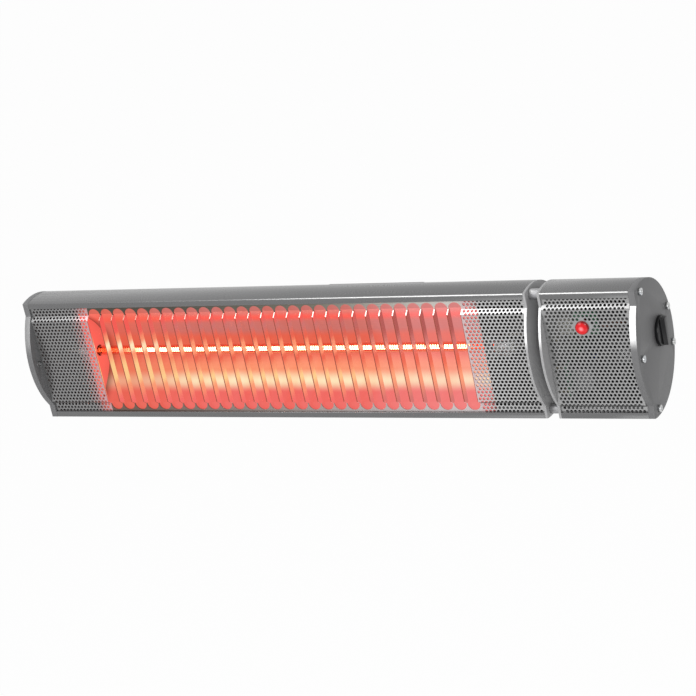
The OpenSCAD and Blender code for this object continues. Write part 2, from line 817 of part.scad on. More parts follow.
module receiver_lead() color([0.2, 0.2, 0.22]) hung() wire([
  [receiver_lead_x, receiver_board_d + board_t, lens_up - receiver_lead_drop],
  [receiver_lead_x, receiver_lead_back, lens_up - receiver_lead_drop],
  [receiver_lead_x - receiver_lead_shift, receiver_lead_back + receiver_lead_shift / 2, -receiver_lead_shift],
  [board_face + receiver_lead_drop, receiver_end[0], receiver_end[1]],
  [board_face, receiver_end[0], receiver_end[1]]
], thin_lead_d);

module switch_leads() color([0.6, 0.3, 0.15]) hung() for (s = [0, 1]) wire([
  [switch_x - switch_len, knob_depth + switch_tag_side * (2 * s - 1), knob_up + switch_tag_side],
  [switch_x - switch_len - switch_lead_run, knob_depth + switch_tag_side * (2 * s - 1), knob_up + switch_tag_side],
  [control_x + terminal_size[0] + switch_lead_run, terminal_steps[s + 1][0], terminal_at[1] + terminal_lead_up],
  [control_x + terminal_size[0], terminal_steps[s + 1][0], terminal_at[1] + terminal_lead_up]
], thin_lead_d);

module switch_body() color([0.13, 0.13, 0.14]) hung() {
  difference() {
    union() {
      translate([switch_x - switch_len, knob_depth - switch_side / 2, knob_up - switch_side / 2])
        cube([switch_len, switch_side, switch_side]);
      bar(switch_x, cap_skin + bush_out, [knob_depth, knob_up], bush_d);
    }
    bar(switch_x - spindle_in - cut, spindle_in + cap_skin + bush_out + 2 * cut, [knob_depth, knob_up],
      spindle_d + 2 * run_gap);
  }
}

module switch_nut() color([0.75, 0.75, 0.75]) hung() difference() {
  hex_bar(total_len, switch_nut_h, [knob_depth, knob_up], switch_nut_flats);
  bore(total_len, switch_nut_h, [knob_depth, knob_up], bush_d + 2 * run_gap);
}

module switch_spindle() color([0.8, 0.8, 0.8]) hung()
  bar(switch_x - spindle_in, knob_x + skirt_h + spindle_grip - switch_x + spindle_in,
    [knob_depth, knob_up], spindle_d);

module switch_knob() color([0.07, 0.07, 0.07]) hung() difference() {
  union() {
    bar(knob_x, skirt_h, [knob_depth, knob_up], knob_d);
    intersection() {
      bar(knob_x + skirt_h, grip_h, [knob_depth, knob_up], grip_len);
      translate([knob_x, knob_depth - grip_w / 2, knob_up - knob_d / 2])
        cube([skirt_h + grip_h, grip_w, knob_d]);
    }
  }
  bar(knob_x - cut, cut + bush_out + seat_gap, [knob_depth, knob_up], knob_hollow_d);
  bar(knob_x - cut, cut + skirt_h + spindle_grip + run_gap, [knob_depth, knob_up], spindle_d);
}

// A piece of the supply gland, turned so that Z is its way out of the housing
module at_gland() {
  hung() translate([gland_x, axis_d, 0]) rotate([-gland_angle, 0, 0]) children();
}

module cable_gland() color([0.15, 0.15, 0.15]) at_gland() difference() {
  union() {
    translate([0, 0, tube_r - gland_in]) cylinder(h = gland_in + gland_seal_t, d = gland_thread_d);
    translate([0, 0, gland_seat]) cylinder(h = gland_flange_h, d = gland_flange_d / cos(30), $fn = 6);
    translate([0, 0, gland_seat + gland_flange_h])
      cylinder(h = gland_dome_h, d1 = gland_flange_d - 2 * gland_dome_step, d2 = gland_bore + 2 * gland_dome_wall);
  }
  translate([0, 0, tube_r - gland_in - cut])
    cylinder(h = gland_in + gland_seal_t + gland_flange_h + gland_dome_h + 2 * cut, d = gland_bore);
}

module gland_seal($fn = 256) color([0.08, 0.08, 0.08]) difference() {
  at_gland() translate([0, 0, tube_r - gland_seal_t]) cylinder(h = 2 * gland_seal_t, d = gland_flange_d);
  at_gland() translate([0, 0, tube_r - 2 * gland_seal_t])
    cylinder(h = 4 * gland_seal_t, d = gland_thread_d + 2 * run_gap);
  hung() bar(control_x, control_len, [axis_d, 0], 2 * tube_r);
}

module gland_nut() color([0.15, 0.15, 0.15]) at_gland() difference() {
  translate([0, 0, gland_nut_top - gland_nut_h])
    cylinder(h = gland_nut_h, d = gland_nut_flats / cos(30), $fn = 6);
  translate([0, 0, gland_nut_top - gland_nut_h - cut])
    cylinder(h = gland_nut_h + 2 * cut, d = gland_thread_d + 2 * run_gap);
}

module left_cap_screws() color([0.85, 0.85, 0.85]) hung() for (p = ports) mirror([1, 0, 0])
  cap_screw(0, p, cap_t + screw_reach);

module tie_screws() color([0.85, 0.85, 0.85]) hung() for (p = ports) cap_screw(total_len, p, tie_len);

module front_screws() color([0.85, 0.85, 0.85]) hung() {
  mirror([1, 0, 0]) cap_screw(0, front_port, cap_t + rivet_t);
  cap_screw(total_len, front_port, cap_t + rivet_t);
}

module front_rivet_nuts() color([0.85, 0.85, 0.85]) hung()
  for (x = [cap_t, total_len - cap_t - rivet_t]) difference() {
    bar(x, rivet_t, front_port, rivet_d);
    bore(x, rivet_t, front_port, screw_d + 2 * run_gap);
  }

// Outline of an ear in [Y, Z]: a round end on the hinge, flared to its root
module ear_outline(root_y, root_low, root_high) {
  translate([-hinge_out, hinge_up]) circle(r = ear_r);
  polygon([
    [-hinge_out, hinge_up - ear_r], [-hinge_out, hinge_up + ear_r],
    [root_y, root_high], [root_y, root_low]
  ]);
}

module plate_x(x, t) {
  translate([x, 0, 0]) rotate([90, 0, 90]) linear_extrude(t) children();
}

module hinge_bar(x, length, d) {
  translate([x, -hinge_out, hinge_up]) rotate([0, 90, 0]) cylinder(h = length, d = d);
}

module hinge_bore(x, length, d) {
  hinge_bar(x - cut, length + 2 * cut, d);
}

module wall_bracket() color([0.3, 0.3, 0.31]) difference() {
  union() {
    translate([-wall_plate_w / 2, -bracket_t, -wall_plate_h / 2])
      cube([wall_plate_w, bracket_t, wall_plate_h]);
    for (x = [-ear_x - bracket_t, ear_x])
      plate_x(x, bracket_t) ear_outline(-bracket_t, hinge_up - ear_flare * ear_r, wall_plate_h / 2);
  }
  for (x = [-1, 1], z = [-1, 1])
    bore_y([x * wall_hole_x / 2, -bracket_t, z * wall_hole_z / 2], bracket_t, wall_hole_d);
  hinge_bore(-ear_x - bracket_t, ear_gap + 2 * bracket_t, bolt_d + 2 * pass_gap);
}

module tilt_bracket() color([0.3, 0.3, 0.31]) difference() {
  union() {
    translate([-tilt_ear_x, base_y, hinge_up - base_h / 2]) cube([2 * tilt_ear_x, bracket_t, base_h]);
    for (x = [-tilt_ear_x, tilt_ear_x - bracket_t])
      plate_x(x, bracket_t) ear_outline(base_y + bracket_t, hinge_up - base_h / 2, hinge_up + base_h / 2);
  }
  for (s = [-1, 1]) bore_y([s * rail_bolt_gap / 2, base_y, hinge_up], bracket_t, rail_slot);
  hinge_bore(-tilt_ear_x, 2 * tilt_ear_x, bolt_d + 2 * run_gap);
}

module both_sides() {
  children();
  mirror([1, 0, 0]) children();
}

module hinge_bolts() color([0.75, 0.75, 0.75]) both_sides() {
  translate([head_x, -hinge_out, hinge_up]) rotate([0, 90, 0])
    cylinder(h = bolt_head_h, d = bolt_flats / cos(30), $fn = 6);
  hinge_bar(hinge_nut_x - bolt_end, head_x - hinge_nut_x + bolt_end, bolt_d);
}

module hinge_washers() color([0.8, 0.8, 0.8]) both_sides() difference() {
  hinge_bar(ear_x + bracket_t, washer_t, washer_d);
  hinge_bore(ear_x + bracket_t, washer_t, bolt_d + 2 * pass_gap);
}

module hinge_nuts() color([0.75, 0.75, 0.75]) both_sides() difference() {
  translate([hinge_nut_x, -hinge_out, hinge_up]) rotate([0, 90, 0])
    cylinder(h = nut_h, d = bolt_flats / cos(30), $fn = 6);
  hinge_bore(hinge_nut_x, nut_h, bolt_d + 2 * run_gap);
}

module rail_bolts() color([0.75, 0.75, 0.75]) both_sides() {
  hex_y([rail_bolt_gap / 2, base_y - rail_lip - bolt_head_h, hinge_up], bolt_head_h, bolt_flats);
  rod_y([rail_bolt_gap / 2, base_y - rail_lip, hinge_up],
    rail_lip + bracket_t + washer_t + nut_h + bolt_end, bolt_d);
}

module rail_washers() color([0.8, 0.8, 0.8]) both_sides() difference() {
  rod_y([rail_bolt_gap / 2, base_y + bracket_t, hinge_up], washer_t, washer_d);
  bore_y([rail_bolt_gap / 2, base_y + bracket_t, hinge_up], washer_t, bolt_d + 2 * pass_gap);
}

module rail_nuts() color([0.75, 0.75, 0.75]) both_sides() difference() {
  hex_y([rail_bolt_gap / 2, rail_nut_y, hinge_up], nut_h, bolt_flats);
  bore_y([rail_bolt_gap / 2, rail_nut_y, hinge_up], nut_h, bolt_d + 2 * run_gap);
}

wall_bracket();
hinge_bolts();
hinge_washers();
hinge_nuts();
tilt_bracket();
rail_bolts();
rail_washers();
rail_nuts();
heater_housing();
left_end_cap();
heater_inner_plate();
control_inner_plate();
right_end_cap();
section_spacers();
control_housing();
front_grille();
control_cover();
reflector();
reflector_end_plates();
quartz_tube();
heating_coil();
lamp_ceramics();
lamp_clips();
lamp_leads();
wire_conduit();
conduit_nuts();
control_board();
board_pillars();
board_screws();
transformer();
relay();
capacitor();
control_chip();
terminal_block();
terminal_screws();
earth_screw();
indicator_lens();
lens_holder();
receiver_board();
receiver_lead();
switch_leads();
switch_body();
switch_nut();
switch_spindle();
switch_knob();
cable_gland();
gland_seal();
gland_nut();
left_cap_screws();
tie_screws();
front_screws();
front_rivet_nuts();
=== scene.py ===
import json
import math

import bmesh
import bpy
from mathutils import Matrix, Vector


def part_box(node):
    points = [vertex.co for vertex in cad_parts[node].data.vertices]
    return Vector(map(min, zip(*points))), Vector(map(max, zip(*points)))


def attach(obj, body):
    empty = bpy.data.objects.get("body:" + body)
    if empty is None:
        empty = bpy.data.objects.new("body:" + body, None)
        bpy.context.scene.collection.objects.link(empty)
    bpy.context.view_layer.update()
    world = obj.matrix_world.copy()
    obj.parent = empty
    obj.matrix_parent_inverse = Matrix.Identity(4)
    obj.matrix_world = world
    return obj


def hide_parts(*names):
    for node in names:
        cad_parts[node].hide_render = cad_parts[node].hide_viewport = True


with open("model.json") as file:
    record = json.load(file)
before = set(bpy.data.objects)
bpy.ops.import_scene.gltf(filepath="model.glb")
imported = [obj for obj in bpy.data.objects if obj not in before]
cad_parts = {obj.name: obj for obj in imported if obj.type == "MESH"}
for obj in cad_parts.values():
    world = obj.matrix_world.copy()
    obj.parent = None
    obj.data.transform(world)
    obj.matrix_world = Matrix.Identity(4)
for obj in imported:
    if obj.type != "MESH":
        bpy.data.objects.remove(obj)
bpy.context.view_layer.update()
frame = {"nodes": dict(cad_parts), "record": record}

mm = 0.001

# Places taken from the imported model: the front lips' plane and upper corner, the middle height, the lamp
# and the lens
heaterLow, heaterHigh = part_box("heater_housing")
lipY = heaterLow.y
lipPoints = [v.co for v in frame["nodes"]["heater_housing"].data.vertices if v.co.y < lipY + 0.3 * mm]
lipTop = max(point.z for point in lipPoints)
midZ = (heaterLow.z + heaterHigh.z) / 2
heaterHalf = (heaterHigh.z - heaterLow.z) / 2
lampLow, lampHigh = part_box("quartz_tube")
lampY = (lampLow.y + lampHigh.y) / 2
lensLow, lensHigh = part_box("indicator_lens")
lensCentre = ((lensLow.x + lensHigh.x) / 2, lensLow.y, (lensLow.z + lensHigh.z) / 2)


class Wire:  # a socket that takes part in sums, so that a pattern reads as one expression
    def __init__(self, net, socket):
        self.net = net
        self.socket = socket

    def __add__(self, other):
        return self.net.maths("ADD", self, other)

    def __radd__(self, other):
        return self.net.maths("ADD", other, self)

    def __sub__(self, other):
        return self.net.maths("SUBTRACT", self, other)

    def __rsub__(self, other):
        return self.net.maths("SUBTRACT", other, self)

    def __mul__(self, other):
        return self.net.maths("MULTIPLY", self, other)

    def __rmul__(self, other):
        return self.net.maths("MULTIPLY", other, self)

    def __truediv__(self, other):
        return self.net.maths("DIVIDE", self, other)

    def __rtruediv__(self, other):
        return self.net.maths("DIVIDE", other, self)

    def __gt__(self, other):
        return self.net.maths("GREATER_THAN", self, other)

    def __lt__(self, other):
        return self.net.maths("LESS_THAN", self, other)


class Net:  # a shader tree
    def __init__(self, tree):
        self.tree = tree
        tree.nodes.clear()

    def put(self, socket, value):
        if isinstance(value, Wire):
            self.tree.links.new(value.socket, socket)
        elif hasattr(value, "__len__") and len(value) == 3 and socket.type == "RGBA":
            socket.default_value = (*value, 1)
        else:
            socket.default_value = value

    def node(self, kind, settings=None, inputs=None, output=0):
        made = self.tree.nodes.new("ShaderNode" + kind)
        for key, value in (settings or {}).items():
            if key == "stops":
                ramp = made.color_ramp
                while len(ramp.elements) < len(value):
                    ramp.elements.new(0.5)
                for stop, (place, colour) in zip(ramp.elements, value):
                    stop.position = place
                    stop.color = (*colour, 1)
            else:
                setattr(made, key, value)
        for key, value in (inputs or {}).items():
            self.put(made.inputs[key], value)
        return Wire(self, made.outputs[output]) if len(made.outputs) else made

    def maths(self, operation, a, b=0.0):
        return self.node("Math", {"operation": operation}, {0: a, 1: b})

    def clamp(self, value, low=0.0, high=1.0):
        return self.node("Clamp", None, {0: value, 1: low, 2: high})

    def rise(self, value, low, high):  # 0 at low, 1 at high, smooth between
        return self.node("MapRange", {"interpolation_type": "SMOOTHSTEP"}, {0: value, 1: low, 2: high})

    def place(self, output="Object"):
        return self.node("TexCoord", None, None, output)

    def axes(self, vector):
        return [self.node("SeparateXYZ", None, {0: vector}, axis) for axis in range(3)]

    def stretched(self, scale):
        return self.node("Mapping", None, {"Vector": self.place(), "Scale": scale})

    def noise(self, scale, detail=2.0, roughness=0.5, vector=None):
        return self.node("TexNoise", None, {
            "Vector": vector or self.place(), "Scale": scale, "Detail": detail, "Roughness": roughness})

    def mix(self, factor, a, b, blend="MIX"):
        return self.node("Mix", {"data_type": "RGBA", "blend_type": blend}, {0: factor, 6: a, 7: b}, 2)

    def ramp(self, factor, stops, mode="LINEAR"):
        made = self.node("ValToRGB", {"stops": stops}, {0: factor})
        made.socket.node.color_ramp.interpolation = mode
        return made

    def bump(self, height, strength, distance):
        return self.node("Bump", None, {"Strength": strength, "Distance": distance, "Height": height})

    def seenDirectly(self):  # 1 to the camera, in a mirror and through glass
        rays = ("Is Camera Ray", "Is Glossy Ray", "Is Transmission Ray")
        camera, glossy, through = [self.node("LightPath", None, None, ray) for ray in rays]
        return self.maths("MAXIMUM", self.maths("MAXIMUM", camera, glossy), through)


shaderSockets = {
    "colour": "Base Color", "roughness": "Roughness", "metallic": "Metallic", "normal": "Normal",
    "coat": "Coat Weight", "coatRoughness": "Coat Roughness", "ior": "IOR",
    "transmission": "Transmission Weight", "specular": "Specular IOR Level",
    "glow": "Emission Color", "glowStrength": "Emission Strength",
}


class Finish(Net):  # one material
    def __init__(self, name, **constants):
        self.material = bpy.data.materials.new(name)
        self.material.use_nodes = True
        super().__init__(self.material.node_tree)
        self.shader = self.tree.nodes.new("ShaderNodeBsdfPrincipled")
        self.surface = Wire(self, self.shader.outputs[0])
        self.output = self.node("OutputMaterial", None, {"Surface": self.surface})
        self.set(**constants)

    def set(self, **values):
        for key, value in values.items():
            self.put(self.shader.inputs[shaderSockets[key]], value)


black = (0, 0, 0)
paintedEdgeHighlights = {  # painted highlights: pale lines where light catches the painted edges, lengths in millimetres
    "colour": (0.93, 0.93, 0.93),
    "lineBelow": 0.7, "lineAbove": 0.6, "lineDepth": 0.8, "lineStart": 230, "lineFull": 60,
    "bulgeFade": 12, "bulgeFull": 27, "leftCapShare": 0.12,
}


def paintedCornerHighlight(paint):  # a painted highlight along the corner of the housings' upper lips, brighter to the right
    x, y, z = paint.axes(paint.place())
    line = (z > lipTop - paintedEdgeHighlights["lineBelow"] * mm) * (z < lipTop + paintedEdgeHighlights["lineAbove"] * mm)
    line = line * (y < lipY + paintedEdgeHighlights["lineDepth"] * mm)
    start = heaterLow.x + paintedEdgeHighlights["lineStart"] * mm
    return line * paint.rise(x, start, heaterHigh.x - paintedEdgeHighlights["lineFull"] * mm)


def paintedBulgeHighlight(paint):  # a painted highlight on the front edge of the bulging plates, white at its upper end
    x, y, z = paint.axes(paint.place())
    inward = paint.axes(paint.place("Normal"))[1]
    upper = paint.rise(z, midZ + paintedEdgeHighlights["bulgeFade"] * mm, midZ + paintedEdgeHighlights["bulgeFull"] * mm)
    faint = paintedEdgeHighlights["leftCapShare"]
    upper = upper * (faint + (1 - faint) * (x > heaterLow.x + 50 * mm))
    return (inward < -0.35) * (y < lipY - 0.4 * mm) * upper


def paintedMetal(name, shade, roughness, grain, streaks, metallic=0.8, highlightMask=None):
    paint = Finish(name)
    wide = paint.noise(9, 3)
    fine = paint.noise(grain, 4, 0.6)
    along = paint.noise(60, 3, 0.6, paint.stretched((0.06, 1, 1)))
    tone = 0.92 + wide * 0.12 + (fine - 0.5) * 0.06 + (along - 0.5) * streaks
    painted = paint.mix(paint.clamp(tone), black, shade)
    # where a painted highlight is given, the surface turns pale and loses its metallic sheen
    paintedHighlight = highlightMask(paint) if highlightMask else 0.0
    paint.set(
        colour=paint.mix(paintedHighlight, painted, paintedEdgeHighlights["colour"]) if highlightMask else painted,
        metallic=metallic * (1 - paintedHighlight),
        roughness=paint.clamp(roughness + (fine - 0.5) * 0.08 + (along - 0.5) * streaks),
        normal=paint.bump(fine * 0.6 + along * streaks * 2, 0.1, 0.06 * mm),
    )
    return paint.material


def grey(level):
    return (level, level, level)


def perforatedSteel(name, tone):  # the control section's cover, with painted highlights on the walls of its holes
    steel = Finish(name, metallic=0.75)
    brushed = steel.noise(900, 3, 0.55, steel.stretched((0.03, 1, 1)))
    cloud = steel.noise(14, 3)
    # painted highlight: the walls of the holes are made pale
    holeWall = steel.maths("ABSOLUTE", steel.axes(steel.place("Normal"))[1]) < 0.4
    face = steel.mix(steel.clamp(0.8 + cloud * 0.24 + (brushed - 0.5) * 0.2), black, grey(tone))
    steel.set(
        colour=steel.mix(holeWall * 0.8, face, (0.75, 0.75, 0.75)),
        roughness=steel.clamp(0.3 + (brushed - 0.5) * 0.25),
        normal=steel.bump(brushed, 0.15, 0.05 * mm),
    )
    return steel.material


lampLightColours = {  # colours of the painted lamp light, as seen on screen, 0 to 255
    "rose": (240, 110, 105), "paleRose": (250, 170, 175), "mauve": (200, 115, 110), "dusk": (165, 85, 80),
    "scarlet": (240, 92, 84), "ember": (230, 100, 78), "brick": (215, 90, 78),
    "peach": (247, 150, 112), "amber": (250, 205, 140), "glare": (252, 236, 195),
}

reflectorPaintedReflection = [  # painted reflection of the lamp, from its lower edge to its upper edge, brightest where the lamp is mirrored
    (0.00, "rose"), (0.07, "rose"), (0.155, "glare"), (0.25, "peach"), (0.38, "ember"), (0.55, "ember"),
    (0.66, "mauve"), (0.75, "mauve"), (0.84, "scarlet"), (0.96, "mauve"),
]

bladePaintedReflection = {  # painted reflection of the lamp on the blades' sides, from their lower ends to their upper ends
    "left": [
        (0.00, "rose"), (0.18, "peach"), (0.30, "amber"), (0.42, "amber"), (0.58, "peach"), (0.67, "glare"),
        (0.76, "peach"), (0.86, "scarlet"),
    ],
    "centre": [
        (0.00, "rose"), (0.17, "peach"), (0.29, "amber"), (0.40, "peach"), (0.52, "ember"), (0.60, "peach"),
        (0.68, "peach"), (0.77, "ember"), (0.90, "mauve"), (1.00, "scarlet"),
    ],
    "right": [(0.00, "mauve"), (0.28, "peach"), (0.48, "ember"), (0.68, "mauve"), (0.84, "dusk")],
}


def linear(level):  # a level on screen, 0 to 255, as the shader's value
    return ((level / 255 + 0.055) / 1.055) ** 2.4


def lampLightColour(name):
    return tuple(linear(level) for level in lampLightColours[name])


def paintedLightRamp(net, height, stops):
    return net.ramp(height, [(place, lampLightColour(name)) for place, name in stops], "EASE")


grillePaintedShading = {  # painted light and shade on the grille; the lists run from the grille's left end, 0, to its right end, 1
    "steel": [
        (0.0, grey(0.24)), (0.12, grey(0.30)), (0.80, grey(0.44)), (0.86, grey(0.58)), (1.0, grey(0.44)),
    ],
    "bars": [(0.25, (0.35, 0.17, 0.13)), (0.5, (0.7, 0.5, 0.45)), (0.8, (0.9, 0.8, 0.75))],
    "upperCusps": [(0.3, (0.07, 0.065, 0.05)), (0.6, (0.16, 0.15, 0.12)), (0.85, (0.55, 0.52, 0.48))],
    "lowerCusps": [(0.2, (0.15, 0.10, 0.08)), (0.5, (0.30, 0.25, 0.23)), (0.85, (0.55, 0.50, 0.50))],
    "nearSlots": (0.70, 0.34, 0.36), "bladeFronts": (0.34, 0.07, 0.045), "litBase": (0.05, 0.02, 0.02),
    "leftHoleWalls": (0.55, 0.50, 0.50), "rightHoleWalls": (0.02, 0.018, 0.018),
}
grillePaintedLamplight = {  # reaches of the painted lamp light in millimetres, those of the blades from the slots' middle
    "strength": 0.95, "pinkReach": 22, "pinkLeft": 0.65, "pinkDrop": 0.3,
    "leftToCentre": (-170, -90), "centreToRight": (40, 150),
}


def grilleSteel(name, middle, halfSlots, flatHalf, stepHeight):  # painted red lamp light around its slots, painted light and shade along it
    steel = Finish(name, metallic=0.6, glowStrength=grillePaintedLamplight["strength"])
    x, y, z = steel.axes(steel.place())
    sideFacing, frontFacing = steel.axes(steel.place("Normal"))[:2]
    offCentre = steel.maths("ABSOLUTE", x - middle)
    offMiddle = steel.maths("ABSOLUTE", z - midZ)
    along = (x - heaterLow.x) / (heaterHigh.x - heaterLow.x)
    brushed = steel.noise(900, 3, 0.55, steel.stretched((0.03, 1, 1)))
    cloud = steel.noise(14, 3)

    # Painted light: the bright right end and the dull left one, and painted pink lamp light near the slots
    tone = steel.ramp(along, grillePaintedShading["steel"])
    shade = steel.mix(steel.clamp(0.82 + cloud * 0.2 + (brushed - 0.5) * 0.2), black, tone)
    drop = grillePaintedLamplight["pinkDrop"] * steel.rise(x, middle - halfSlots, middle + halfSlots)
    pinkness = grillePaintedLamplight["pinkLeft"] - drop
    nearSlots = steel.rise(offCentre, halfSlots + grillePaintedLamplight["pinkReach"] * mm, halfSlots)
    shade = steel.mix(nearSlots * pinkness, shade, grillePaintedShading["nearSlots"])

    # Along the slots: painted lamp light on the blades' fronts, painted highlights on the bars where they
    # slant, painted light and shade on the cusps above and below
    inSlots = offCentre < halfSlots
    flat = offMiddle < flatHalf
    slanted = (offMiddle > flatHalf) * (offMiddle < flatHalf + stepHeight)
    outer = offMiddle > flatHalf + stepHeight
    parts = ("bars", "upperCusps", "lowerCusps")
    bars, above, below = [steel.ramp(along, grillePaintedShading[part]) for part in parts]
    shade = steel.mix(inSlots * flat, shade, grillePaintedShading["bladeFronts"])
    shade = steel.mix(inSlots * slanted, shade, bars)
    shade = steel.mix(inSlots * outer, shade, steel.mix(z < midZ, above, below))

    # Painted light and shade on the walls of the perforations, pale on the left and dark on the right
    holeWall = (steel.maths("ABSOLUTE", frontFacing) < 0.4) * (offCentre > halfSlots)
    wallTone = steel.mix(
        steel.rise(along, 0.3, 0.7), grillePaintedShading["leftHoleWalls"], grillePaintedShading["rightHoleWalls"])
    shade = steel.mix(holeWall * 0.85, shade, wallTone)

    # The blades' sides glow with a painted reflection of the lamp
    height = (z - midZ) / (2 * flatHalf) + 0.5
    left, centre, right = [paintedLightRamp(steel, height, bladePaintedReflection[part]) for part in ("left", "centre", "right")]
    paintedLamplight = left
    for reaches, further in (("leftToCentre", centre), ("centreToRight", right)):
        start, end = [middle + reach * mm for reach in grillePaintedLamplight[reaches]]
        paintedLamplight = steel.mix(steel.rise(x, start, end), paintedLamplight, further)
    lit = (steel.maths("ABSOLUTE", sideFacing) > 0.5) * inSlots * (offMiddle < flatHalf + stepHeight)
    steel.set(
        colour=steel.mix(lit, shade, grillePaintedShading["litBase"]),
        roughness=steel.clamp(0.28 + (brushed - 0.5) * 0.25),
        normal=steel.bump(brushed, 0.15, 0.05 * mm),
        glow=steel.mix(lit, black, paintedLamplight),
    )
    return steel.material


def platedMetal(name, shade, tint, roughness):
    metal = Finish(name, metallic=1.0)
    cloud = metal.noise(70, 3)
    fine = metal.noise(1400, 2)
    metal.set(
        colour=metal.mix(metal.rise(cloud, 0.35, 0.65), shade, tint),
        roughness=metal.clamp(roughness + (fine - 0.5) * 0.2),
        normal=metal.bump(fine, 0.12, 0.03 * mm),
    )
    return metal.material


def mouldedPlastic(name, shade, roughness, grain=1500, gloss=0.0, shine=0.5):
    plastic = Finish(name, coat=gloss, coatRoughness=0.12, specular=shine)
    fine = plastic.noise(grain, 3, 0.6)
    cloud = plastic.noise(25, 2)
    plastic.set(
        colour=plastic.mix(plastic.clamp(0.85 + cloud * 0.2 + (fine - 0.5) * 0.1), black, shade),
        roughness=plastic.clamp(roughness + (fine - 0.5) * 0.2),
        normal=plastic.bump(fine, 0.2, 0.05 * mm),
    )
    return plastic.material


reflectorPaintedLight = {  # reaches of the painted lamp light in millimetres, inward from its ends
    "strength": 0.96, "base": (0.04, 0.02, 0.016), "patchTint": (1.0, 0.76, 0.62), "patchShare": 0.5,
    "emberReach": (30, 130), "emberShare": 0.6, "paleReach": (60, 180), "paleShare": 0.25,
    "endReach": (-4, 12), "endShare": 0.2,
}


# a mirror that glows with a painted reflection of the lamp, in patches, redder near its left end, paler
# near its right end, dimmer at its very ends
def reflectorWithPaintedLight(name, halfHeight, low, high):
    paintedLights = reflectorPaintedLight
    mirror = Finish(name, metallic=1.0, glowStrength=paintedLights["strength"], colour=paintedLights["base"])
    x, y, z = mirror.axes(mirror.place())
    inward = mirror.axes(mirror.place("Normal"))[1]
    ripple = mirror.noise(26, 2, 0.5, mirror.stretched((1, 0.15, 0.15)))
    height = (z - midZ) / (2 * halfHeight) + 0.5 + (ripple - 0.5) * 0.03
    paintedLamplight = paintedLightRamp(mirror, height, reflectorPaintedReflection)
    patches = mirror.rise(mirror.noise(46, 2, 0.5, mirror.stretched((1, 0, 0))), 0.35, 0.65)
    tinted = mirror.mix(1.0, paintedLamplight, paintedLights["patchTint"], "MULTIPLY")
    paintedLamplight = mirror.mix(patches * paintedLights["patchShare"], paintedLamplight, tinted)
    near, far = paintedLights["emberReach"]
    leftEnd = mirror.rise(x, low + far * mm, low + near * mm)
    paintedLamplight = mirror.mix(leftEnd * paintedLights["emberShare"], paintedLamplight, lampLightColour("ember"))
    near, far = paintedLights["paleReach"]
    rightEnd = mirror.rise(x, high - far * mm, high - near * mm)
    paintedLamplight = mirror.mix(rightEnd * paintedLights["paleShare"], paintedLamplight, lampLightColour("paleRose"))
    near, far = paintedLights["endReach"]
    ends = mirror.rise(x, low + near * mm, low + far * mm)
    ends = ends * mirror.rise(x, high - near * mm, high - far * mm)
    lit = (inward < -0.02) * (paintedLights["endShare"] + (1 - paintedLights["endShare"]) * ends)
    mirror.set(
        roughness=mirror.clamp(0.22 + ripple * 0.1),
        glow=mirror.mix(lit, black, paintedLamplight),
    )
    return mirror.material


coilHeat = {  # reaches in millimetres, inward from the ends of its glowing stretch
    "strength": 6.5, "base": (0.8, 0.5, 0.3), "leftReach": (12, 60), "rightReach": (0, 6),
    "cool": (0.20, 0.022, 0.006), "hot": [(0.3, (1.0, 0.68, 0.38)), (0.6, (1.0, 0.90, 0.70))],
}


def glowingCoil(name, low, high):
    coil = Finish(name, roughness=0.6, glowStrength=coilHeat["strength"], colour=coilHeat["base"])
    x, y, z = coil.axes(coil.place())
    uneven = coil.noise(45, 3, 0.6, coil.stretched((1, 0, 0)))
    near, far = coilHeat["leftReach"]
    leftEnd = coil.rise(x, low + near * mm, low + far * mm)
    near, far = coilHeat["rightReach"]
    ends = leftEnd * coil.rise(x, high - near * mm, high - far * mm)
    coil.set(glow=coil.mix(ends, coilHeat["cool"], coil.ramp(uneven, coilHeat["hot"])))
    return coil.material


def clearQuartz(name):
    quartz = Finish(name, transmission=1.0, ior=1.35, colour=(1.0, 0.62, 0.48))
    streak = quartz.noise(40, 2, 0.5, quartz.stretched((0.1, 1, 1)))
    quartz.set(roughness=quartz.clamp(0.01 + streak * 0.04))
    return quartz.material


def circuitBoard(name):
    board = Finish(name, coat=0.5, coatRoughness=0.2)
    tracks = board.noise(420, 0)
    line = board.rise(board.maths("ABSOLUTE", tracks - 0.5), 0.05, 0.03)
    board.set(
        colour=board.mix(line, (0.02, 0.13, 0.06), (0.05, 0.24, 0.10)),
        roughness=0.42 + line * 0.1,
        normal=board.bump(line, 0.3, 0.05 * mm),
    )
    return board.material


domeGlow = {"middle": (1.0, 0.28, 0.30), "around": (0.66, 0.006, 0.010), "rim": (0.16, 0.002, 0.003)}


def redDome(name, centre, radius):
    dome = Finish(name, coat=0.15, coatRoughness=0.1, glowStrength=1.0, specular=0.2)
    offset = dome.node("VectorMath", {"operation": "DISTANCE"}, {0: dome.place(), 1: centre}, "Value")
    middle = dome.rise(offset, radius * 0.5, 0.0)
    rim = dome.rise(offset, radius * 0.8, radius)
    speck = dome.noise(700, 2)
    lit = dome.mix(middle, domeGlow["around"], domeGlow["middle"])
    dome.set(
        colour=dome.mix(middle, (0.10, 0.001, 0.002), (0.5, 0.05, 0.06)),
        roughness=dome.clamp(0.15 + speck * 0.12),
        glow=dome.mix(rim, lit, domeGlow["rim"]),
    )
    return dome.material


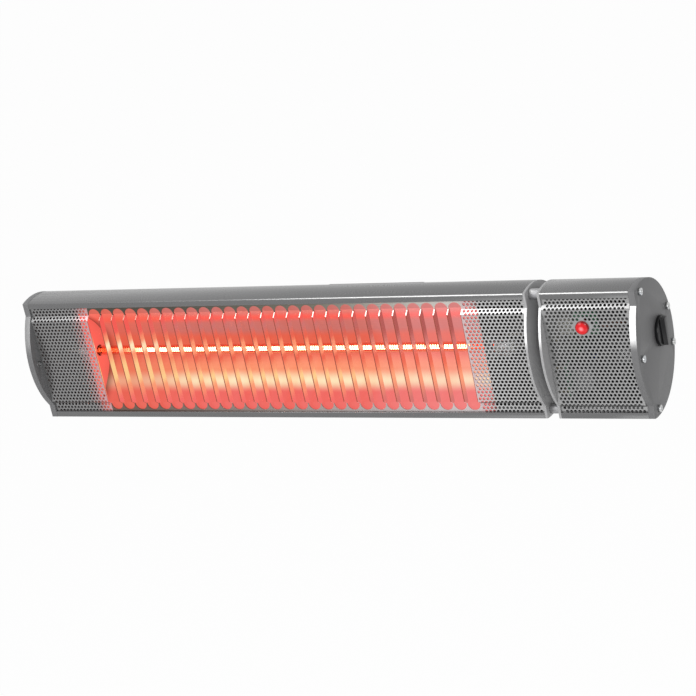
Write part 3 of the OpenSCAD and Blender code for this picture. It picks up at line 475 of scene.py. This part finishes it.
def endPlateSteel(name, middle, shade):  # the reflector's end plates, painted red lamp light on the faces towards the lamp
    plate = Finish(name, metallic=0.9, glowStrength=1.0, colour=shade)
    x, y, z = plate.axes(plate.place())
    facing = plate.axes(plate.place("Normal"))[0]
    cloud = plate.noise(60, 3)
    # painted lamp light on the faces that look towards the lamp
    inward = (x < middle) * (facing > 0.5) + (x > middle) * (facing < -0.5)
    glow = plate.mix(cloud, lampLightColour("scarlet"), lampLightColour("brick"))
    plate.set(roughness=0.25 + cloud * 0.15, glow=plate.mix(plate.clamp(inward), black, glow))
    return plate.material


def laminatedCore(name):
    core = Finish(name, metallic=0.6)
    x, y, z = core.axes(core.place())
    leaves = core.maths("FRACT", x * 1600)
    gap = core.rise(leaves, 0.3, 0.1)
    core.set(
        colour=core.mix(gap, (0.22, 0.22, 0.23), (0.04, 0.04, 0.045)),
        roughness=0.45 + gap * 0.25,
        normal=core.bump(1 - gap, 0.4, 0.08 * mm),
    )
    return core.material


edgeRounding = {"segments": 2, "sharpAngle": 28, "smoothAngle": 32}


def sharpEdges(bm):
    limit = math.radians(edgeRounding["sharpAngle"])
    return [e for e in bm.edges if len(e.link_faces) == 2 and e.calc_face_angle(0) > limit]


def finished(bm, name, material, body, replaced, smooth):
    mesh = bpy.data.meshes.new(name)
    bm.to_mesh(mesh)
    bm.free()
    mesh.materials.append(material)
    mesh.shade_smooth()
    mesh.set_sharp_from_angle(angle=math.radians(smooth))
    piece = bpy.data.objects.new(name, mesh)
    bpy.context.scene.collection.objects.link(piece)
    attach(piece, body)
    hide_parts(replaced)
    return piece


bodies = frame["record"]["behaviour"]["bodies"]
bodyOf = {node: body for body, members in bodies.items() for node in members}
slotOf = {part["node"]: part["material_slot"] for part in frame["record"]["subparts"]}


def mergedCopy(node):  # a node's loose triangles as flat faces that share their edges
    bm = bmesh.new()
    bm.from_mesh(frame["nodes"][node].data)
    bmesh.ops.remove_doubles(bm, verts=bm.verts, dist=0.002 * mm)
    bmesh.ops.dissolve_limit(
        bm, angle_limit=math.radians(0.5), verts=bm.verts, edges=bm.edges, delimit=set())
    return bm


def softened(node, material, width):  # a copy of a node with its sharp edges rounded
    bm = mergedCopy(node)
    bmesh.ops.bevel(
        bm, geom=sharpEdges(bm), offset=width * mm, offset_type="OFFSET", segments=edgeRounding["segments"],
        profile=0.5, affect="EDGES", clamp_overlap=True, material=-1, loop_slide=True)
    return finished(
        bm, node + "Dressed", material, bodyOf[node], node, edgeRounding["smoothAngle"])


def dress(node, material):
    piece = frame["nodes"][node]
    if not piece.material_slots:
        piece.data.materials.append(material)
    for place in piece.material_slots:
        place.material = material


sheet = {  # millimetres
    "thickness": 1.0, "stepHeight": 4.0, "smoothAngle": 20,
    "holePitch": 4.14, "holeDiameter": 3.0, "holeSides": 12, "rows": 17,
    "grilleMargin": 21.0, "coverMargin": 17.5, "edgeMargin": 1.2, "slotSideMargin": 0.6,
    "lensFlange": 1.0, "lensLand": 0.8, "lensPlay": 0.2,
}
slot = {
    "count": 29, "pitch": 14.7, "web": 1.0, "endHeight": 57.6, "shift": 2.0, "arcSides": 26,
    "bladeDepth": 8.0, "bladePlay": 0.2, "bladeSetback": 0.3, "bladeRounding": 0.35,
}

slotsMiddle = (heaterLow.x + heaterHigh.x) / 2 + slot["shift"] * mm
slotsWidth = slot["count"] * slot["pitch"] * mm
slotsLeft = slotsMiddle - slotsWidth / 2
slotsRight = slotsMiddle + slotsWidth / 2
grilleFlat = heaterHalf - sheet["grilleMargin"] * mm  # half heights of the sheets' flat middles
coverFlat = heaterHalf - sheet["coverMargin"] * mm
grilleLow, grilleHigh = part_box("front_grille")
coverLow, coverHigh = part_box("control_cover")
sheetFaceY = coverLow.y
sheetRise = coverHigh.y - sheet["thickness"] * mm - sheetFaceY
sheetSlope = math.hypot(sheetRise, sheet["stepHeight"] * mm)
# Half the height of an unrolled sheet, whose edges stand in the grooves
sheetEdge = (coverHigh.z - coverLow.z) / 2 - sheet["stepHeight"] * mm + sheetSlope
lensRadius = (lensHigh.x - lensLow.x) / 2 - sheet["lensFlange"] * mm


def repeat(bm, geom, step, copies):
    bmesh.ops.spin(
        bm, geom=geom, cent=(0, 0, 0), axis=(0, 0, 1), dvec=step, angle=0, steps=copies,
        use_duplicate=True, use_merge=False)


def everything(bm):
    return bm.verts[:] + bm.edges[:] + bm.faces[:]


def perforatedBlock(columns):  # hexagons with a round hole each, laid in rows
    pitch = sheet["holePitch"] * mm
    rowStep = pitch * math.sqrt(3) / 2
    rows = sheet["rows"]
    bm = bmesh.new()
    radius = sheet["holeDiameter"] / 2 * mm
    bmesh.ops.create_circle(bm, cap_ends=False, radius=radius, segments=sheet["holeSides"])
    bmesh.ops.create_circle(bm, cap_ends=False, radius=pitch / math.sqrt(3), segments=6)
    bmesh.ops.triangle_fill(bm, use_beauty=True, edges=bm.edges[:], normal=(0, 0, 1))
    repeat(bm, everything(bm), (pitch, 0, 0), columns - 1)
    lowest = everything(bm)
    shift = pitch / 2 if rows % 2 == 0 else -pitch / 2
    repeat(bm, lowest, (0, 2 * rows * rowStep, 0), 1)
    repeat(bm, lowest, (shift, rowStep, 0), 1)
    pairTop = 3 * rowStep  # above the two lowest rows, which are copied upwards as a pair
    pair = [v for v in bm.verts if v.co.y < pairTop]
    pair += [g for g in bm.edges[:] + bm.faces[:] if max(v.co.y for v in g.verts) < pairTop]
    repeat(bm, pair, (0, 2 * rowStep, 0), rows - 1)
    low = min(v.co.x for v in bm.verts)
    bmesh.ops.translate(bm, verts=bm.verts, vec=(-low, -rows * rowStep, 0))
    return bm


def cellsWithin(bm, centre, reach):  # corners of the cells, still apart, whose middles lie near a place
    near, waiting = [], set(bm.verts)
    while waiting:
        cell, ends = [], [waiting.pop()]
        while ends:
            corner = ends.pop()
            cell.append(corner)
            fresh = {e.other_vert(corner) for e in corner.link_edges} & waiting
            waiting -= fresh
            ends += fresh
        if (sum((v.co for v in cell), Vector()) / len(cell) - centre).length < reach:
            near += cell
    return near


def addBlock(target, columns, x0, x1, clearing=None):
    block = perforatedBlock(columns)
    width = max(v.co.x for v in block.verts)
    bmesh.ops.translate(block, verts=block.verts, vec=((x0 + x1 - width) / 2, 0, 0))
    if clearing:
        bmesh.ops.delete(block, geom=cellsWithin(block, *clearing), context="VERTS")
    bmesh.ops.remove_doubles(block, verts=block.verts, dist=0.01 * mm)
    mesh = bpy.data.meshes.new("block")
    block.to_mesh(mesh)
    block.free()
    target.from_mesh(mesh)
    bpy.data.meshes.remove(mesh)


def rimEdges(bm):  # the zigzag outlines of the perforated blocks, longer than a hole's short sides
    longest = sheet["holeDiameter"] / 2 * mm
    return [e for e in bm.edges if len(e.link_faces) == 1 and e.calc_length() > longest]


def rectangleLoop(bm, x0, x1, half):
    corners = [bm.verts.new((x, y, 0)) for x, y in ((x0, -half), (x1, -half), (x1, half), (x0, half))]
    return [bm.edges.new((corners[i], corners[(i + 1) % 4])) for i in range(4)]


def slotLoop(bm, x, half, radius):
    ring = bmesh.ops.create_circle(bm, cap_ends=False, radius=radius, segments=slot["arcSides"])["verts"]
    for v in ring:
        v.co.x /= math.cos(math.pi / slot["arcSides"])
        v.co.y += math.copysign(half - radius, v.co.y)
    bmesh.ops.translate(bm, verts=ring, vec=(x, 0, 0))
    return list({e for v in ring for e in v.link_edges})


def bendAndThicken(bm, flatHalf):  # the flat pattern gets its slanted steps and its thickness
    slopeEnd = flatHalf + sheetSlope
    for line in (flatHalf, slopeEnd):
        for side in (-1, 1):
            bmesh.ops.bisect_plane(
                bm, geom=everything(bm), plane_co=(0, side * line, 0), plane_no=(0, 1, 0), dist=0.002 * mm)
    for v in bm.verts:
        away = abs(v.co.y)
        share = min(max((away - flatHalf) / sheetSlope, 0), 1)
        up = min(away, flatHalf) + share * sheet["stepHeight"] * mm + max(away - slopeEnd, 0)
        v.co = (v.co.x, sheetFaceY + share * sheetRise, midZ + math.copysign(up, v.co.y))
    bmesh.ops.recalc_face_normals(bm, faces=bm.faces)
    back = bmesh.ops.extrude_face_region(bm, geom=bm.faces[:])
    moved = [g for g in back["geom"] if isinstance(g, bmesh.types.BMVert)]
    bmesh.ops.translate(bm, verts=moved, vec=(0, sheet["thickness"] * mm, 0))
    bmesh.ops.recalc_face_normals(bm, faces=bm.faces)


def holeColumns(room):  # as many as fit, with half a pitch for the rows that are set over
    return int(room / (sheet["holePitch"] * mm) - 0.5)


def frontGrille(material):
    inner = sheet["slotSideMargin"] * mm
    edge = sheet["edgeMargin"] * mm
    pitch = slot["pitch"] * mm
    bm = bmesh.new()
    for x0, x1 in ((grilleLow.x + edge, slotsLeft - inner), (slotsRight + inner, grilleHigh.x - edge)):
        addBlock(bm, holeColumns(x1 - x0), x0, x1)
    loops = rimEdges(bm)
    loops += rectangleLoop(bm, grilleLow.x, grilleHigh.x, sheetEdge)
    reach = (slot["endHeight"] - sheet["stepHeight"]) * mm + sheetSlope
    for i in range(slot["count"]):
        loops += slotLoop(bm, slotsLeft + (i + 0.5) * pitch, reach, (slot["pitch"] - slot["web"]) / 2 * mm)
    bmesh.ops.triangle_fill(bm, use_beauty=True, edges=loops, normal=(0, 0, 1))
    bendAndThicken(bm, grilleFlat)
    for i in range(1, slot["count"]):
        addBlade(bm, slotsLeft + i * pitch, grilleFlat)
    print("front grille:", len(bm.faces), "faces")
    return finished(
        bm, "frontGrille", material, "heater", "front_grille", sheet["smoothAngle"])


def addBlade(bm, x, flatHalf):
    front = sheetFaceY + slot["bladeSetback"] * mm
    back = sheetFaceY + slot["bladeDepth"] * mm
    blade = bmesh.ops.create_cube(bm, size=1)["verts"]
    for v in blade:
        reach = flatHalf + (sheet["stepHeight"] * mm if v.co.y > 0 else 0)
        v.co.x = x + v.co.x * (slot["web"] - slot["bladePlay"]) * mm
        v.co.y = back if v.co.y > 0 else front
        v.co.z = midZ + math.copysign(reach, v.co.z)
    edges = list({e for v in blade for e in v.link_edges})
    rear = [e for e in edges if all(abs(v.co.y - back) < 0.01 * mm for v in e.verts)]
    bmesh.ops.bevel(
        bm, geom=rear, offset=slot["bladeRounding"] * mm, offset_type="OFFSET", segments=2, profile=0.5,
        affect="EDGES", clamp_overlap=True, material=-1)


def controlCover(material):
    lensPlace = Vector((lensCentre[0], lensCentre[2] - midZ, 0))
    openingRadius = lensRadius + sheet["lensPlay"] * mm
    clear = openingRadius + (sheet["holeDiameter"] / 2 + sheet["lensLand"]) * mm
    room = coverHigh.x - coverLow.x - 2 * sheet["edgeMargin"] * mm
    bm = bmesh.new()
    addBlock(bm, holeColumns(room), coverLow.x, coverHigh.x, (lensPlace, clear))
    loops = rimEdges(bm)
    loops += rectangleLoop(bm, coverLow.x, coverHigh.x, sheetEdge)
    ring = bmesh.ops.create_circle(bm, cap_ends=False, radius=openingRadius, segments=48)["verts"]
    bmesh.ops.translate(bm, verts=ring, vec=lensPlace)
    loops += list({e for v in ring for e in v.link_edges})
    bmesh.ops.triangle_fill(bm, use_beauty=True, edges=loops, normal=(0, 0, 1))
    bendAndThicken(bm, coverFlat)
    print("control cover:", len(bm.faces), "faces")
    return finished(
        bm, "controlCover", material, "heater", "control_cover", sheet["smoothAngle"])


lamp = {  # millimetres; wire is its radius
    "turnPitch": 2.6, "wire": 0.5, "wireSides": 5, "turnSides": 14, "coilDiameter": 4.6, "smoothAngle": 80,
}


def heatingCoil(material):
    low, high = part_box("heating_coil")
    turns = int((high.x - low.x) / (lamp["turnPitch"] * mm))
    bm = bmesh.new()
    made = bmesh.ops.create_circle(bm, cap_ends=True, radius=lamp["wire"] * mm, segments=lamp["wireSides"])
    wire = made["verts"]
    coilRadius = (lamp["coilDiameter"] / 2 - lamp["wire"]) * mm
    bmesh.ops.rotate(bm, verts=wire, cent=(0, 0, 0), matrix=Matrix.Rotation(math.pi / 2, 3, "X"))
    bmesh.ops.translate(bm, verts=wire, vec=(low.x, lampY, midZ + coilRadius))
    steps = turns * lamp["turnSides"]
    advance = ((high.x - low.x) / steps, 0, 0)
    bmesh.ops.spin(
        bm, geom=everything(bm), cent=(0, lampY, midZ), axis=(1, 0, 0), dvec=advance,
        angle=2 * math.pi * turns, steps=steps, use_duplicate=False, use_merge=False)
    bmesh.ops.recalc_face_normals(bm, faces=bm.faces)
    print("heating coil:", turns, "turns,", len(bm.faces), "faces")
    return finished(bm, "heatingCoil", material, "heater", "heating_coil", lamp["smoothAngle"])


reflectorLow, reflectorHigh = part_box("reflector")
reflectorHalf = (reflectorHigh.z - reflectorLow.z) / 2 - 10 * mm  # without its flanges
coilEnd = slotsRight - 9 * mm  # the coil glows from the first slot to here

finishes = {
    "housing": paintedMetal("housingPaint", (0.168, 0.168, 0.170), 0.27, 900, 0.1, 0.8, paintedCornerHighlight),
    "cap": paintedMetal("capPaint", (0.150, 0.150, 0.153), 0.5, 700, 0.0, 0.2, paintedBulgeHighlight),
    "plate": paintedMetal("platePaint", (0.35, 0.35, 0.353), 0.5, 700, 0.0, 0.1, paintedBulgeHighlight),
    "bracket": paintedMetal("bracketPaint", (0.05, 0.05, 0.053), 0.45, 1100, 0.0, 0.2),
    "grille": grilleSteel(
        "grilleSteel", slotsMiddle, slotsWidth / 2, grilleFlat, sheet["stepHeight"] * mm),
    "cover": perforatedSteel("coverSteel", 0.36),
    "plated": platedMetal("zincPlate", (0.55, 0.55, 0.54), (0.48, 0.50, 0.52), 0.25),
    "spacer": platedMetal("turnedAluminium", (0.36, 0.36, 0.36), (0.32, 0.32, 0.33), 0.55),
    "nickel": platedMetal("nickelBrass", (0.72, 0.64, 0.45), (0.66, 0.62, 0.50), 0.3),
    "reflector": reflectorWithPaintedLight("reflectorPaintedReflection", reflectorHalf, reflectorLow.x, reflectorHigh.x),
    "endPlate": endPlateSteel("endPlateSheet", slotsMiddle, (0.25, 0.14, 0.12)),
    "quartz": clearQuartz("clearQuartz"),
    "coil": glowingCoil("glowingCoil", slotsLeft, coilEnd),
    "ceramic": mouldedPlastic("glazedCeramic", (0.80, 0.77, 0.70), 0.25, 900, 0.3),
    "silicone": mouldedPlastic("siliconeSleeve", (0.62, 0.58, 0.50), 0.55),
    "darkSleeve": mouldedPlastic("darkSleeve", (0.03, 0.03, 0.032), 0.5),
    "brownSleeve": mouldedPlastic("brownSleeve", (0.16, 0.05, 0.02), 0.5),
    "board": circuitBoard("circuitBoard"),
    "component": mouldedPlastic("componentBlack", (0.025, 0.025, 0.027), 0.4),
    "relay": mouldedPlastic("relayBlue", (0.02, 0.06, 0.30), 0.3, 1500, 0.3),
    "core": laminatedCore("laminatedCore"),
    "terminal": mouldedPlastic("terminalNylon", (0.65, 0.63, 0.56), 0.4),
    "black": mouldedPlastic("satinBlack", (0.006, 0.006, 0.007), 0.3, 1800, 0.0, 0.28),
    "gland": mouldedPlastic("glandNylon", (0.02, 0.02, 0.022), 0.45),
    "rubber": mouldedPlastic("softRubber", (0.015, 0.015, 0.015), 0.75),
    "lens": redDome("redDome", lensCentre, lensRadius),
}

finishOf = {
    "housing_paint": "housing", "cap_paint": "cap", "plate_paint": "plate", "sheet_steel": "grille",
    "bright_aluminium": "endPlate", "spacer_aluminium": "spacer", "plated_steel": "plated",
    "nickel_brass": "nickel", "bracket_paint": "bracket", "quartz": "quartz", "hot_wire": "coil",
    "ceramic": "ceramic", "lead_sleeve": "silicone", "dark_sleeve": "darkSleeve",
    "copper_sleeve": "brownSleeve",
    "board_green": "board", "component_dark": "component", "relay_blue": "relay", "core_steel": "core",
    "terminal_plastic": "terminal", "lens_red": "lens", "black_plastic": "black", "gland_plastic": "gland",
    "seal_rubber": "rubber",
}
for node, slotName in slotOf.items():
    dress(node, finishes[finishOf[slotName]])
dress("reflector", finishes["reflector"])
print("finishes:", len(finishes), "on", len(slotOf), "nodes")

edgeWidths = {  # how far each node's sharp edges are rounded, in millimetres
    "heater_housing": 0.5, "control_housing": 0.5, "left_end_cap": 0.6, "right_end_cap": 0.6,
    "heater_inner_plate": 0.4, "control_inner_plate": 0.4, "section_spacers": 0.4,
    "wall_bracket": 0.5, "tilt_bracket": 0.5,
    "hinge_bolts": 0.5, "hinge_washers": 0.25, "hinge_nuts": 0.5,
    "rail_bolts": 0.5, "rail_washers": 0.25, "rail_nuts": 0.5, "tie_screws": 0.55, "left_cap_screws": 0.55,
    "front_screws": 0.55, "cable_gland": 0.5, "indicator_lens": 0.4, "switch_knob": 1.1,
    "transformer": 0.6, "relay": 0.5, "terminal_block": 0.4, "switch_body": 0.5, "lamp_ceramics": 0.6,
}
for node, width in edgeWidths.items():
    softened(node, finishes[finishOf[slotOf[node]]], width)
print("rounded edges on", len(edgeWidths), "nodes")

frontGrille(finishes["grille"])
controlCover(finishes["cover"])
heatingCoil(finishes["coil"])


backdrop = {"size": 9, "height": -1.1, "shade": grey(0.92), "speckle": grey(0.8), "whiteness": 0.97}
skyLight = {"onObject": 0.4, "seen": 1.0}
softLights = {  # place, aim, width, height and watts
    "overheadLight": ((-0.75, -0.45, 1.55), (0.1, -0.1, 0), 1.3, 0.9, 14),
    "frontLeftLight": ((-0.85, -1.75, 0.95), (0.2, -0.1, 0), 0.8, 1.1, 14),
    "cameraSideLight": ((1.35, -2.5, 1.1), (0.1, -0.1, 0), 1.0, 1.0, 32),
    "lowerLight": ((0.5, -1.3, -0.9), (0.1, -0.1, 0), 1.2, 0.7, 3),
}
camera = {  # metres, degrees and millimetres
    "place": (1.1705, -2.1597, 0.9460), "turn": (67.876, 11.485, 24.841), "lens": 130.2, "sensor": 36,
    "near": 0.05, "far": 40,
}


def paleBackdrop(name):  # keeps a little of the shadow under the plain white
    pale = Finish(name, roughness=0.9)
    speckle = pale.noise(3, 2)
    pale.set(colour=pale.mix(speckle * 0.05, backdrop["shade"], backdrop["speckle"]))
    white = pale.node("Emission", None, {"Color": (1, 1, 1), "Strength": 1.0})
    share = pale.seenDirectly() * backdrop["whiteness"]
    mixed = pale.node("MixShader", None, {0: share, 1: pale.surface, 2: white})
    pale.put(pale.output.inputs["Surface"], mixed)
    return pale.material


floorMesh = bpy.data.meshes.new("floor")
bm = bmesh.new()
bmesh.ops.create_grid(bm, x_segments=1, y_segments=1, size=backdrop["size"])
bmesh.ops.translate(bm, verts=bm.verts, vec=(0, 0, backdrop["height"]))
bm.to_mesh(floorMesh)
bm.free()
floor = bpy.data.objects.new("floor", floorMesh)
floorMesh.materials.append(paleBackdrop("paleFloor"))
bpy.context.scene.collection.objects.link(floor)

world = bpy.data.worlds.new("studio")
bpy.context.scene.world = world
world.use_nodes = True
sky = Net(world.node_tree)
dim = sky.node("Background", None, {"Color": (1, 1, 1), "Strength": skyLight["onObject"]})
white = sky.node("Background", None, {"Color": (1, 1, 1), "Strength": skyLight["seen"]})
sky.node("OutputWorld", None, {
    "Surface": sky.node("MixShader", None, {0: sky.seenDirectly(), 1: dim, 2: white})})


def softLight(name, place, aim, width, height, watts):
    light = bpy.data.lights.new(name, "AREA")
    light.shape = "RECTANGLE"
    light.size = width
    light.size_y = height
    light.energy = watts
    box = bpy.data.objects.new(name, light)
    box.location = place
    box.rotation_euler = (Vector(aim) - Vector(place)).to_track_quat("-Z", "Y").to_euler()
    bpy.context.scene.collection.objects.link(box)


for name, settings in softLights.items():
    softLight(name, *settings)

cameraData = bpy.data.cameras.new("photoView")
cameraData.lens = camera["lens"]
cameraData.sensor_width = camera["sensor"]
cameraData.clip_start = camera["near"]
cameraData.clip_end = camera["far"]
view = bpy.data.objects.new("photoView", cameraData)
view.location = camera["place"]
view.rotation_euler = [math.radians(angle) for angle in camera["turn"]]
bpy.context.scene.collection.objects.link(view)
bpy.context.scene.camera = view
bpy.context.scene.view_settings.view_transform = "Standard"
print("studio:", len(softLights), "lights")
